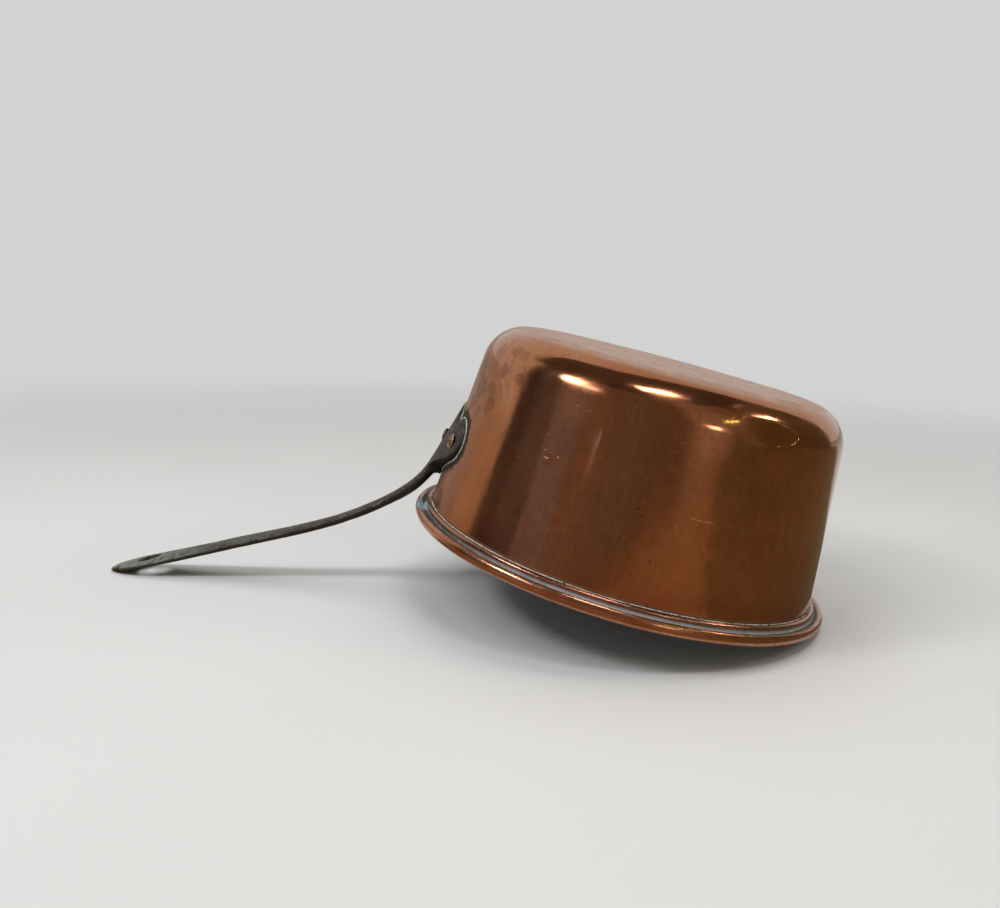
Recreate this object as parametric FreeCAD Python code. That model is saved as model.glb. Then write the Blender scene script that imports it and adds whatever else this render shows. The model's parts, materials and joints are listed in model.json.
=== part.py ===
import FreeCAD, Part
import os
from math import asin, atan2, cos, degrees, pi, radians, sin, sqrt, tan

# A copper saucepan with a rolled, wired rim and a forged iron handle held by three
# rivets. It is built upside down in its own axes (mouth plane at z = 0, base on top,
# handle toward -X) and then laid down as it rests: on the rim and the handle's tip.
# All lengths are in millimetres.

os.makedirs("parts", exist_ok=True)

# ---- pan -------------------------------------------------------------------
mouth_radius = 112.5      # outer face of the wall, at the mouth plane
pan_height = 116.8        # mouth plane to the outside of the base
wall_lean = 5.92          # degrees that the wall leans in toward the base
corner_radius = 23.0      # outside, wall to base
wall_thickness = 1.6
lining_thickness = 0.3    # tin, wiped over the whole inside
lip_clear = 1.0           # the wall's raw edge stops short of the mouth plane

# ---- rolled rim --------------------------------------------------------------
rim_overhang = 7.5        # the roll's outermost point, out from the wall at the mouth
wire_radius = 2.2
wire_play = 0.05          # between the wire and the copper round it
roll_sheet = 1.55         # copper round the wire
roll_flat = 1.1           # the roll's top is beaten down by this much
groove_depth = 0.35       # hollow worn in that flat
ridge_radius = 1.5        # the bead of the rim that hugs the wall
ridge_rise = 1.3          # its centre, above the flat
solder_leg = 1.1          # solder in the corner between ridge and wall: height up the wall
solder_spread = 15.0      # degrees past the ridge's crest where it ends

# ---- handle ------------------------------------------------------------------
root_height = 26.0        # where the bar meets the plate, above the mouth plane
bar_root_gap = 6.0        # bar's centre line out from the wall, at the root
# Centre line of the bar: (out from the root, down from it). It starts inside the plate.
bar_line = [(-4.4, -14.0), (0.0, 0.0), (6.2, 12.3), (20.7, 28.0), (47.6, 48.2),
            (92.2, 72.7), (138.0, 96.6), (177.4, 116.4)]
# Half width and half thickness along the bar, by distance back from the tip.
bar_size = [(29.0, 12.2, 2.4), (42.0, 11.6, 2.4), (65.0, 10.2, 2.45),
            (92.0, 9.3, 2.45), (122.0, 7.6, 2.5), (150.0, 7.2, 2.55),
            (178.0, 7.4, 2.8), (200.0, 8.2, 3.25), (216.0, 9.4, 3.3),
            (231.0, 9.4, 2.3)]
tip_length = 29.0         # rounded end, tip to the widest place
tip_thinning = 0.7        # of the half thickness, at the very tip
section_power = 3.0       # 2 is an ellipse, more is squarer
hang_hole_radius = 6.8
hang_hole_back = 25.0     # hole centre, back from the tip

# ---- riveted plate at the handle's root ------------------------------------------
plate_crown_radius = 85.0  # curve of the plate's outer face, across the handle
plate_taper = 17.0         # degrees that face leans in toward the base
plate_root_rise = 9.2      # outer face off the wall, at root_height
middle_lobe = (48.0, 18.0)        # height of the lobe's centre, lobe radius
side_lobe = (48.5, 29.5, 12.0)    # height, distance to the side, lobe radius
neck = (9.0, 26.0)                # half width and height where its lower edges start
notch_round = 2.5
plate_edge_round = 0.5

# ---- rivets ------------------------------------------------------------------
rivet_side = 30.0         # side rivets, out from the middle plane
rivet_side_height = 46.5
rivet_middle_height = 43.5
shank_radius = 2.4
head_radius = 4.0
head_height = 1.6
inner_head_radius = 4.6
inner_head_height = 1.4
head_sink = 0.9           # heads are bedded this deep in the iron plate

# ---- worked out --------------------------------------------------------------
Z = FreeCAD.Vector(0, 0, 1)
Y = FreeCAD.Vector(0, 1, 0)
wall_angle = radians(wall_lean)
wall_slope = tan(wall_angle)
rim_radius = mouth_radius + rim_overhang
roll_radius = wire_radius + wire_play + roll_sheet
roll_x = rim_radius - roll_radius
roll_z = roll_radius
flat_height = 2 * roll_radius - roll_flat
ridge_height = flat_height + ridge_rise


def vec(x, z, y=0.0):
    return FreeCAD.Vector(x, y, z)


def wall_radius(height):
    """Outer radius of the wall at a height above the mouth plane."""
    return mouth_radius - wall_slope * height


def skin(offset, low):
    """Points of the pan's half outline moved inward by offset, from a height up."""
    slant = offset / cos(wall_angle)
    top = pan_height - offset
    radius = corner_radius - offset
    turn = pi / 2 - wall_angle
    reach = radius * tan(turn / 2)
    corner = vec(wall_radius(top) - slant, top)
    centre = vec(corner.x - reach, top - radius)
    wall_end = vec(centre.x + radius * cos(wall_angle), centre.z + radius * sin(wall_angle))
    half = wall_angle + turn / 2
    middle = vec(centre.x + radius * cos(half), centre.z + radius * sin(half))
    return [vec(wall_radius(low) - slant, low), wall_end, middle, vec(centre.x, top),
            vec(0, top)]


def skin_edges(points):
    low, wall_end, middle, base_end, axis = points
    return [Part.makeLine(low, wall_end),
            Part.Arc(wall_end, middle, base_end).toShape(),
            Part.makeLine(base_end, axis)]


def turned(edges):
    """Solid of revolution about the pan's axis."""
    face = Part.Face(Part.Wire(Part.__sortEdges__(edges)))
    return face.revolve(FreeCAD.Vector(0, 0, 0), Z, 360)


def shell(outer_offset, inner_offset, low):
    """Pan-shaped shell between two offsets of the outline."""
    outer = skin(outer_offset, low)
    inner = skin(inner_offset, low)
    edges = skin_edges(outer) + skin_edges(inner)
    edges.append(Part.makeLine(outer[0], inner[0]))
    edges.append(Part.makeLine(outer[-1], inner[-1]))
    return turned(edges)


def pan_solid(offset, low):
    """Everything inside one offset of the outline, from a height up."""
    outline = skin(offset, low)
    edges = skin_edges(outline)
    edges.append(Part.makeLine(vec(0, low), outline[0]))
    edges.append(Part.makeLine(vec(0, low), outline[-1]))
    return turned(edges)


# ---- pan body and lining -------------------------------------------------------
pan_body = shell(0.0, wall_thickness, lip_clear)
tin_lining = shell(wall_thickness, wall_thickness + lining_thickness, lip_clear)

# ---- rim: ridge, grooved flat, roll, and the wire in it ----------------------------
ridge_x = wall_radius(ridge_height) + ridge_radius * 0.75
ridge_top = ridge_height + ridge_radius * 0.66
flat_start = ridge_x + ridge_radius
shoulder_x = roll_x + sqrt(roll_radius ** 2 - (flat_height - roll_z) ** 2)
rim_points = [
    vec(wall_radius(0.0), 0.0),
    vec(wall_radius(ridge_top), ridge_top),
    vec(flat_start, flat_height),
    vec(shoulder_x, flat_height),
    vec(roll_x, 0.0),
]
solder_foot = vec(ridge_x + ridge_radius * sin(radians(solder_spread)),
                  ridge_height + ridge_radius * cos(radians(solder_spread)))
ridge_mid = vec(ridge_x + ridge_radius * sin(pi / 4),
                ridge_height + ridge_radius * cos(pi / 4))
groove_mid = vec((flat_start + shoulder_x) / 2, flat_height - groove_depth)
roll_mid = vec(roll_x + roll_radius * cos(pi / 8), roll_z - roll_radius * sin(pi / 8))
rim_ring = turned([
    Part.makeLine(rim_points[0], rim_points[1]),
    Part.makeLine(rim_points[1], solder_foot),
    Part.Arc(solder_foot, ridge_mid, rim_points[2]).toShape(),
    Part.Arc(rim_points[2], groove_mid, rim_points[3]).toShape(),
    Part.Arc(rim_points[3], roll_mid, rim_points[4]).toShape(),
    Part.makeLine(rim_points[4], rim_points[0]),
])


def torus(radius):
    return Part.makeTorus(roll_x, radius, vec(0, roll_z), Z)


rim_ring = rim_ring.cut(torus(wire_radius + wire_play))
rim_wire = torus(wire_radius)

# Solder: a small ring in the corner between the ridge's sloping seat and the wall.
solder_top = vec(wall_radius(ridge_top + solder_leg), ridge_top + solder_leg)
rim_solder = turned([
    Part.makeLine(rim_points[1], solder_top),
    Part.makeLine(solder_top, solder_foot),
    Part.makeLine(solder_foot, rim_points[1]),
])

# ---- handle bar ------------------------------------------------------------------
root_x = wall_radius(root_height) + bar_root_gap
line = Part.BSplineCurve()
line.interpolate([vec(-root_x - out, root_height - down) for out, down in bar_line])
line_length = line.length()


def between(table, at, column):
    """Straight-line value of a column of a table at a distance."""
    if at <= table[0][0]:
        return table[0][column]
    for low, high in zip(table, table[1:]):
        if at <= high[0]:
            share = (at - low[0]) / (high[0] - low[0])
            return low[column] + share * (high[column] - low[column])
    return table[-1][column]


def bar_section(back):
    """Closed section of the bar, at a distance back from the tip."""
    at = line.parameterAtDistance(line_length - back, line.FirstParameter)
    centre = line.value(at)
    along = line.tangent(at)[0]
    up = along.cross(Y)
    half_width = between(bar_size, back, 1)
    half_thick = between(bar_size, back, 2)
    if back < tip_length:
        half_width *= sqrt(1 - ((tip_length - back) / tip_length) ** 2)
        half_thick *= 1 - tip_thinning * (1 - back / tip_length) ** 6
    points = []
    steps = 20
    for step in range(steps):
        turn = 2 * pi * step / steps
        flat = abs(cos(turn)) ** (2 / section_power) * (1 if cos(turn) >= 0 else -1)
        tall = abs(sin(turn)) ** (2 / section_power) * (1 if sin(turn) >= 0 else -1)
        points.append(centre + Y * (half_width * flat) + up * (half_thick * tall))
    curve = Part.BSplineCurve()
    curve.interpolate(points, PeriodicFlag=True)
    return Part.Wire(curve.toShape())


tip_stations = [tip_length * share for share in (0.02, 0.07, 0.16, 0.3, 0.5, 0.75)]
stations = tip_stations + [size[0] for size in bar_size if size[0] < line_length - 3.0]
stations.append(line_length)
bar = Part.makeLoft([bar_section(back) for back in stations], True, False)

# ---- handle plate ------------------------------------------------------------------
taper = radians(plate_taper)
crown_x = wall_radius(root_height) + plate_root_rise - plate_crown_radius / cos(taper)
crown_axis = vec(sin(taper), cos(taper))
crown_length = 2 * pan_height
crown_foot = vec(-crown_x, root_height) - crown_axis * (crown_length / 2)
crown = Part.makeCylinder(plate_crown_radius, crown_length, crown_foot, crown_axis)


def along_x(radius, side, height):
    """Round bar through the wall, along X: one lobe of the plate."""
    start = vec(-rim_radius - 20, height, side)
    return Part.makeCylinder(radius, rim_radius, start, FreeCAD.Vector(1, 0, 0))


# The plate's lower edges run straight from the neck, tangent to the side lobes.
middle_height, middle_radius = middle_lobe
lobe_height, lobe_side, lobe_radius = side_lobe
neck_x, neck_z = neck
to_lobe = atan2(lobe_height - neck_z, lobe_side - neck_x)
lobe_distance = sqrt((lobe_height - neck_z) ** 2 + (lobe_side - neck_x) ** 2)
edge_angle = to_lobe - asin(lobe_radius / lobe_distance)
edge_run = sqrt(lobe_distance ** 2 - lobe_radius ** 2)
tangent_x = neck_x + edge_run * cos(edge_angle)
tangent_z = neck_z + edge_run * sin(edge_angle)
half_outline = [(neck_x, neck_z - 4), (neck_x, neck_z), (tangent_x, tangent_z),
                (lobe_side, lobe_height)]
outline = [vec(-rim_radius - 20, z, y) for y, z in half_outline]
outline += [vec(-rim_radius - 20, z, -y) for y, z in reversed(half_outline)]
web = Part.Face(Part.makePolygon(outline + outline[:1]))
plate = web.extrude(FreeCAD.Vector(rim_radius, 0, 0))
plate = plate.fuse([along_x(middle_radius, 0.0, middle_height),
                    along_x(lobe_radius, lobe_side, lobe_height),
                    along_x(lobe_radius, -lobe_side, lobe_height)]).removeSplitter()


def is_corner(edge, solid):
    """True for an edge along X where the outline turns inward."""
    ends = [vertex.Point for vertex in edge.Vertexes]
    if len(ends) < 2 or abs(ends[0].x - ends[1].x) < rim_radius / 2:
        return False
    middle = (ends[0] + ends[1]) / 2
    probe = Part.makeCylinder(0.2, 1.0, middle, FreeCAD.Vector(1, 0, 0))
    return probe.common(solid).Volume > 0.55 * probe.Volume


plate = plate.makeFillet(notch_round, [edge for edge in plate.Edges if is_corner(edge, plate)])
whole_pan = pan_solid(0.0, 0.0)
plate = plate.common(crown).cut(whole_pan)


def is_outer_rim(edge):
    """True for the edges between the plate's face and its sides, clear of the wall."""
    at = edge.valueAt((edge.FirstParameter + edge.LastParameter) / 2)
    lifted = vec(0, at.z).distanceToPoint(at) - wall_radius(at.z)
    return lifted > plate_edge_round * 1.5 and edge.Length > 2.0 and at.z > neck_z + 2


plate = plate.makeFillet(plate_edge_round, [edge for edge in plate.Edges if is_outer_rim(edge)])
handle = bar.fuse(plate).cut(whole_pan).removeSplitter()

# Hanging hole, square to the bar.
hole_at = line.parameterAtDistance(line_length - hang_hole_back, line.FirstParameter)
hole_centre = line.value(hole_at)
hole_axis = line.tangent(hole_at)[0].cross(Y)
hole_axis.normalize()
handle = handle.cut(Part.makeCylinder(hang_hole_radius, 20.0,
                                      hole_centre - hole_axis * 10.0, hole_axis))

# ---- rivets ------------------------------------------------------------------------
sheet = wall_thickness + lining_thickness


def rivet_axis(side, height):
    """Foot on the wall's outer face, and the outward normal there."""
    radius = wall_radius(height)
    across = sqrt(radius ** 2 - side ** 2)
    foot = FreeCAD.Vector(-across, side, height)
    out = FreeCAD.Vector(-across / radius * cos(wall_angle), side / radius * cos(wall_angle),
                         sin(wall_angle))
    return foot, out


def cap(radius, height, base, way):
    """Round cap standing on the axis at base; way is Z, or -Z for one facing inward."""
    sphere = (radius ** 2 + height ** 2) / (2 * height)
    low_latitude = 90 - degrees(asin(radius / sphere))
    centre = vec(0, base) + way * (height - sphere)
    return Part.makeSphere(sphere, centre, way, low_latitude, 90, 360)


def make_rivet(foot, out, grip):
    """Rivet closed over a grip of iron outside and the copper sheet inside."""
    bed = -sheet + lining_thickness / 3
    seat = grip - head_sink
    shank = Part.makeCylinder(shank_radius, grip - bed, vec(0, bed), Z)
    collar = Part.makeCylinder(head_radius, head_sink, vec(0, seat), Z)
    rivet = shank.fuse([collar, cap(head_radius, head_height, grip, Z),
                        cap(inner_head_radius, inner_head_height, bed, -Z)]).removeSplitter()
    rivet.Placement = FreeCAD.Placement(foot, FreeCAD.Rotation(Z, out))
    return rivet


rivet_places = {"rivet_middle": (0.0, rivet_middle_height),
                "rivet_left": (-rivet_side, rivet_side_height),
                "rivet_right": (rivet_side, rivet_side_height)}
rivets = {}
for name, (side, height) in rivet_places.items():
    foot, out = rivet_axis(side, height)
    probe = Part.makeLine(foot, foot + out * 30.0)
    grip = probe.common(handle).Length
    shank = Part.makeCylinder(shank_radius, grip + sheet + 2.0, foot - out * (sheet + 1.0), out)
    rivet = make_rivet(foot, out, grip)
    pan_body = pan_body.cut(shank)
    tin_lining = tin_lining.cut(shank)
    handle = handle.cut(rivet)
    rivets[name] = rivet.cut(tin_lining)

nodes = {"pan_body": pan_body, "tin_lining": tin_lining, "rim_ring": rim_ring,
         "rim_wire": rim_wire, "rim_solder": rim_solder, "handle": handle}
nodes.update(rivets)

# ---- laid down as it rests: rim and handle tip on the table ----------------------------
tip_points = handle.tessellate(0.02)[0]


def tip_low(tilt):
    return min(-point.x * sin(tilt) + point.z * cos(tilt) for point in tip_points)


def rim_low(tilt):
    return -roll_x * sin(tilt) + roll_z * cos(tilt) - roll_radius


low_tilt, high_tilt = 0.0, pi / 4
for _ in range(40):
    tilt = (low_tilt + high_tilt) / 2
    if tip_low(tilt) < rim_low(tilt):
        low_tilt = tilt
    else:
        high_tilt = tilt
rest = FreeCAD.Placement(FreeCAD.Vector(0, 0, -rim_low(tilt)), FreeCAD.Rotation(Y, degrees(tilt)))
tip_x = min(rest.multVec(point).x for point in tip_points)
rim_far = roll_x * cos(tilt) + roll_z * sin(tilt) + roll_radius
corner_x = skin(0.0, 0.0)[3].x
corner_z = pan_height - corner_radius
corner_far = corner_x * cos(tilt) + corner_z * sin(tilt) + corner_radius
rest.Base.x = -(tip_x + max(rim_far, corner_far)) / 2

for name, shape in nodes.items():
    placed = shape.copy()
    placed.Placement = rest.multiply(placed.Placement)
    placed.exportStep("parts/" + name + ".step")
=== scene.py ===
import json
import math

import bpy
import numpy as np
from mathutils import Matrix, Vector, noise
from mathutils.bvhtree import BVHTree


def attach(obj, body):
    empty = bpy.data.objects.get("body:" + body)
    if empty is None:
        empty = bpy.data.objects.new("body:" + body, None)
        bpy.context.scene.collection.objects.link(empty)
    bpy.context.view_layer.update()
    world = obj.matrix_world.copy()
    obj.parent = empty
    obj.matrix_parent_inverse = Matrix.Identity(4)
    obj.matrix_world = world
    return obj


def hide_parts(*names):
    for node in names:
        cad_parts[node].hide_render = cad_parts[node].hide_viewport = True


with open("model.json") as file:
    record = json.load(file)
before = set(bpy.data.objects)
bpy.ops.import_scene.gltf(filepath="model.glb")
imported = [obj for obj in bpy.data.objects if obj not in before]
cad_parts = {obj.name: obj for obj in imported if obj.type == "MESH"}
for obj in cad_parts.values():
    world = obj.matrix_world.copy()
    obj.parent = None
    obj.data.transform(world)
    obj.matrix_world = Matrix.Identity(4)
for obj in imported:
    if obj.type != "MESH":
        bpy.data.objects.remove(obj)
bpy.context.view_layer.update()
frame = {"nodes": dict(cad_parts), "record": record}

# ---- sizes, in metres, as the CAD part has them --------------------------------------
MM = 0.001
MOUTH_RADIUS = 112.5 * MM
WALL_SLOPE = math.tan(math.radians(5.92))
PAN_HEIGHT = 116.8 * MM
CORNER_RADIUS = 23.0 * MM
WALL = 1.6 * MM
LINING = 0.3 * MM
LIP = 1.0 * MM  # how far the wall stops short of the mouth plane
ROLL_RADIUS = 3.8 * MM
ROLL_X = 116.2 * MM
FLAT = 6.5 * MM  # the roll is beaten down to this height
RIDGE_RADIUS = 1.5 * MM
RIDGE_Z = 7.8 * MM
# Each rivet's place to the side, its height, and the plate's depth there.
RIVETS = {"rivet_middle": (0.0, 43.5 * MM, 5.5 * MM),
          "rivet_left": (-30.0 * MM, 46.5 * MM, 3.3 * MM),
          "rivet_right": (30.0 * MM, 46.5 * MM, 3.3 * MM)}

# ---- the pan's own axes --------------------------------------------------------------
# x runs away from the handle, z from the mouth plane to the base; the origin is the
# centre of the mouth. The base_face mount gives the base's centre and its normal.
base_face = next(m for m in frame["record"]["mounts"] if m["name"] == "base_face")
AXIS = Vector(base_face["axis"]).normalized()
SIDE = Vector((0.0, 1.0, 0.0))
OUT = SIDE.cross(AXIS)
MOUTH = Vector(base_face["pos_m"]) - AXIS * PAN_HEIGHT
TO_ROW = np.array([OUT, SIDE, AXIS])


def to_row(points):
    """Points in the pan's axes, as an array, moved to the row frame."""
    return np.asarray(points) @ TO_ROW + np.array(MOUTH)


def to_pan(points):
    """Points in the row frame, as an array, moved to the pan's axes."""
    return (np.asarray(points) - np.array(MOUTH)) @ TO_ROW.T


def wall_radius(z):
    return MOUTH_RADIUS - WALL_SLOPE * z


def smooth(low, high, value):
    """0 below low, 1 above high, with a soft turn between."""
    share = np.clip((value - low) / (high - low), 0.0, 1.0)
    return share * share * (3 - 2 * share)


def rough(points, scale, octaves=2, seed=0.0):
    """Fractal noise, about -1 to 1, at each point."""
    away = Vector((seed, seed * 0.7, seed * 1.3))
    return np.array([noise.fractal(Vector(p) * scale + away, 0.9, 2.0, octaves)
                     for p in points])


# ---- building meshes -----------------------------------------------------------------
def make_piece(name, points, faces, replaced=(), numbers=None):
    """Smooth-shaded piece from points in the pan's axes, with per-point numbers."""
    mesh = bpy.data.meshes.new(name)
    mesh.from_pydata(to_row(points).tolist(), [], faces)
    mesh.validate()
    mesh.shade_smooth()
    place = mesh.attributes.new("pan_xyz", "FLOAT_VECTOR", "POINT")
    place.data.foreach_set("vector", np.asarray(points, dtype=np.float32).ravel())
    for key, values in (numbers or {}).items():
        layer = mesh.attributes.new(key, "FLOAT", "POINT")
        layer.data.foreach_set("value", np.asarray(values, dtype=np.float32))
    piece = bpy.data.objects.new(name, mesh)
    bpy.context.scene.collection.objects.link(piece)
    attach(piece, "root")
    if replaced:
        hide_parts(*replaced)
    return piece


def turned_points(section, turns):
    """Section points (r, z) turned about the axis; angle 0 is at the handle."""
    angle = np.linspace(0, 2 * math.pi, turns, endpoint=False)
    r, z = section[:, 0][:, None], section[:, 1][:, None]
    x = -r * np.cos(angle)
    y = -r * np.sin(angle)
    return np.stack([x, y, z + 0 * x], -1)


def grid_faces(rows, turns, closed_rows=False, start=0, flip=False):
    """Quads over a grid of rows of points that closes round the axis."""
    faces = []
    for row in range(rows if closed_rows else rows - 1):
        above = (row + 1) % rows
        for turn in range(turns):
            after = (turn + 1) % turns
            quad = (start + row * turns + turn, start + row * turns + after,
                    start + above * turns + after, start + above * turns + turn)
            faces.append(quad[::-1] if flip else quad)
    return faces


def normals_of(section):
    """Unit normals (r, z) of an open section, to the right along it."""
    step = np.gradient(section, axis=0)
    normal = np.stack([step[:, 1], -step[:, 0]], -1)
    return normal / np.linalg.norm(normal, axis=1)[:, None]


# ---- pan body and lining -------------------------------------------------------------
PAN_TURNS = 640


def pan_section():
    """The pan's outer outline from lip to centre, evenly stepped."""
    lean = math.atan(WALL_SLOPE)
    reach = CORNER_RADIUS * math.tan((math.pi / 2 - lean) / 2)
    arc_x = wall_radius(PAN_HEIGHT) - reach
    arc_z = PAN_HEIGHT - CORNER_RADIUS
    wall_top = arc_z + CORNER_RADIUS * math.sin(lean)
    wall = [(wall_radius(z), z) for z in np.linspace(LIP, wall_top, 70)]
    arc = [(arc_x + CORNER_RADIUS * math.cos(a), arc_z + CORNER_RADIUS * math.sin(a))
           for a in np.linspace(lean, math.pi / 2, 46)[1:]]
    base = [(r, PAN_HEIGHT) for r in np.linspace(arc_x, 1.5 * MM, 24)[1:]]
    return np.array(wall + arc + base)


# The large dent near the base, far from the handle, has a creased lip; it comes first.
# Each row: degrees round from the handle, height, half width, half height and depth in mm,
# slope of its long axis, and softness of its edge (1 is a plain bowl).
LIPPED_DENT = (114, 101.2, 20.5, 5.7)
DENTS = ((*LIPPED_DENT, 1.3, 0.0, 1.0), (97.5, 102.5, 6.0, 3.0, 0.16, 0.0, 1.15),
         (106, 76, 16, 14, 0.30, 0.2, 2.0), (101, 44, 13, 18, 0.22, 0.0, 2.0),
         (-60, 99, 13, 6, 0.7, 0.0, 1.15), (-150, 101, 9, 5, 0.5, 0.0, 1.15))


def bowl(place, angle, z, half_width, half_height, depth, slope, soft):
    """Depth of an oval dent; it is deeper toward larger angles."""
    turn = math.radians(angle)
    radial = np.array([-math.cos(turn), -math.sin(turn), 0.0])
    along = np.array([math.sin(turn), -math.cos(turn), 0.0])
    offset = place - radial * 101 * MM - np.array([0, 0, z * MM])
    u = offset @ along / (half_width * MM)
    v = (offset[:, 2] - slope * (offset @ along)) / (half_height * MM)
    inside = np.clip(1 - u * u - v * v, 0.0, 1.0) ** soft
    near_side = np.abs(offset @ radial) < 20 * MM
    return near_side * depth * MM * inside * (0.55 + 0.45 * np.clip(u, -1, 1))


def wear(place):
    """How far the hand-beaten copper lies inside its ideal surface."""
    waves = 0.15 * MM * (1 + rough(place, 20, 2, 3.0)) + 0.020 * MM * rough(place, 95, 2, 9.0)
    return waves + sum(bowl(place, *dent) for dent in DENTS)


def oval(place, angle, z, half_width, half_height):
    """1 at the middle of an oval on the wall, 0 on its edge, negative outside."""
    turn = math.radians(angle)
    along = place @ np.array([math.sin(turn), -math.cos(turn), 0.0])
    facing = place @ np.array([-math.cos(turn), -math.sin(turn), 0.0]) > 0
    reach = np.hypot(along / (half_width * MM), (place[:, 2] - z * MM) / (half_height * MM))
    return np.where(facing, np.clip(1 - reach, -1.5, 1.0), -1.5)


def sheet_between(outer_offset, inner_offset):
    """Pan-shaped sheet between two depths below the worn outer surface."""
    section = pan_section()
    flat = turned_points(section, PAN_TURNS).reshape(-1, 3)
    normal = turned_points(normals_of(section), PAN_TURNS).reshape(-1, 3)
    rows = len(section)
    sunk = wear(flat)[:, None]
    outer = flat - normal * (sunk + outer_offset)
    inner = flat - normal * (sunk + inner_offset)
    count = len(flat)
    faces = grid_faces(rows, PAN_TURNS, flip=True)
    faces += grid_faces(rows, PAN_TURNS, start=count)
    ring = range(PAN_TURNS)
    for turn in ring:
        after = (turn + 1) % PAN_TURNS
        faces.append((turn, after, count + after, count + turn))
    last = (rows - 1) * PAN_TURNS
    faces.append([last + turn for turn in ring][::-1])
    faces.append([count + last + turn for turn in ring])
    return np.vstack([outer, inner]), faces


def near(points, node, limit):
    """1 at a CAD node's surface, falling to 0 at limit away from it."""
    mesh = frame["nodes"][node].data
    verts = [v.co.copy() for v in mesh.vertices]
    polys = [list(p.vertices) for p in mesh.polygons]
    tree = BVHTree.FromPolygons(verts, polys)
    found = []
    for point in to_row(points):
        hit = tree.find_nearest(Vector(point), limit)
        found.append(0.0 if hit[3] is None else 1.0 - hit[3] / limit)
    return found


body_points, body_faces = sheet_between(0.0, WALL)
# Water stains high on the handle's side: degrees round from the handle, then height,
# half width and half height in mm.
STAINS = ((23.6, 102.8, 4.0, 4.2), (33.4, 104.9, 5.6, 2.6), (32.2, 94.4, 4.4, 4.8),
          (41.0, 93.8, 3.8, 3.8), (31.0, 75.5, 5.4, 5.4), (29.3, 83.0, 4.6, 5.0),
          (20.2, 80.0, 7.5, 9.5), (15.0, 91.5, 7.5, 6.5), (16.0, 70.8, 6.0, 6.0),
          (15.5, 64.0, 5.0, 4.5), (24.8, 69.4, 1.8, 3.0), (5.0, 84.0, 7.0, 8.0),
          (-14.0, 76.0, 6.0, 8.0), (-27.0, 90.0, 5.0, 5.0))
stained = np.max([oval(body_points, *stain) for stain in STAINS], axis=0)
pan = make_piece("pan", body_points, body_faces, ["pan_body"],
                 {"near_iron": near(body_points, "handle", 14 * MM), "stained": stained,
                  "dented": oval(body_points, *LIPPED_DENT)})
lining_points, lining_faces = sheet_between(WALL, WALL + LINING)
lining = make_piece("lining", lining_points, lining_faces, ["tin_lining"])


# ---- rim -----------------------------------------------------------------------------
RIM_TURNS = 640


def arc_points(centre, radius, start, end, count):
    return [(centre[0] + radius * math.cos(a), centre[1] + radius * math.sin(a))
            for a in np.linspace(start, end, count)]


def rim_section():
    """Closed outline of the rim, from the wall over ridge, groove and roll."""
    ridge_x = wall_radius(RIDGE_Z) + 0.75 * RIDGE_RADIUS
    shoulder = math.asin((FLAT - ROLL_RADIUS) / ROLL_RADIUS)
    groove_in = ridge_x + RIDGE_RADIUS * 0.92
    groove_out = ROLL_X + ROLL_RADIUS * math.cos(shoulder) - 0.5 * MM
    points = [(wall_radius(RIDGE_Z + 1 * MM) - 0.2 * MM, RIDGE_Z + 0.7 * MM)]
    points += arc_points((ridge_x, RIDGE_Z), RIDGE_RADIUS, math.radians(128), math.radians(-32), 12)
    for share in np.linspace(0.08, 0.94, 9):
        sag = 0.80 * MM * math.sin(math.pi * share ** 0.55)
        points.append((groove_in + (groove_out - groove_in) * share, FLAT - sag))
    points += arc_points((ROLL_X, ROLL_RADIUS), ROLL_RADIUS, shoulder + 0.06, -math.pi / 2, 26)
    points += [(r, 0.0) for r in np.linspace(ROLL_X - 1 * MM, wall_radius(0) + 0.3 * MM, 4)]
    points += [(wall_radius(z) - 0.25 * MM, z) for z in (0.4 * MM, 2.5 * MM, 5 * MM)]
    return np.array(points)


# around is 0 where the rim leaves the wall, and grows over ridge, groove and roll to 1.
section = rim_section()
rim_rows = len(section)
around = np.repeat(np.linspace(0, 1, rim_rows), RIM_TURNS)
flat_points = turned_points(section, RIM_TURNS).reshape(-1, 3)
middle = np.array([ROLL_X - 1.5 * MM, 4.2 * MM])
radial = flat_points[:, :2] / np.linalg.norm(flat_points[:, :2], axis=1)[:, None]
reach = np.linalg.norm(flat_points[:, :2], axis=1) - middle[0]
inward = -np.stack([radial[:, 0] * reach, radial[:, 1] * reach, flat_points[:, 2] - middle[1]], -1)
inward /= np.linalg.norm(inward, axis=1)[:, None]
lumps = 0.09 * MM * (1 + rough(flat_points, 26, 2, 5.0)) + 0.012 * MM * rough(flat_points, 190, 2, 8.0)
# deposit fills the groove, most of it near the handle
in_groove = smooth(0.20, 0.25, around) * (1 - smooth(0.30, 0.38, around))
by_patch = np.linalg.norm(flat_points - [-113 * MM, -24 * MM, 6.5 * MM], axis=1)
by_blots = np.linalg.norm(flat_points - [-102 * MM, -54 * MM, 6.5 * MM], axis=1)
deposit = 0.50 * np.exp(-(by_patch / (9 * MM)) ** 2) + 0.16 * np.exp(-(by_blots / (26 * MM)) ** 2)
lumps -= in_groove * (0.04 + deposit) * MM * (1 + np.clip(rough(flat_points, 380, 3, 2.0), -0.6, 1.2))
# the rim stays true where it rests on the floor
touches = flat_points[:, 2] < 1.2 * MM
lumps = np.where(touches & (flat_points[:, 0] > 90 * MM), np.minimum(lumps, 0.02 * MM), lumps)
flat_points = flat_points + inward * lumps[:, None]
rim = make_piece("rim", flat_points, grid_faces(rim_rows, RIM_TURNS, closed_rows=True),
                 ["rim_ring"], {"around": around})


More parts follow.
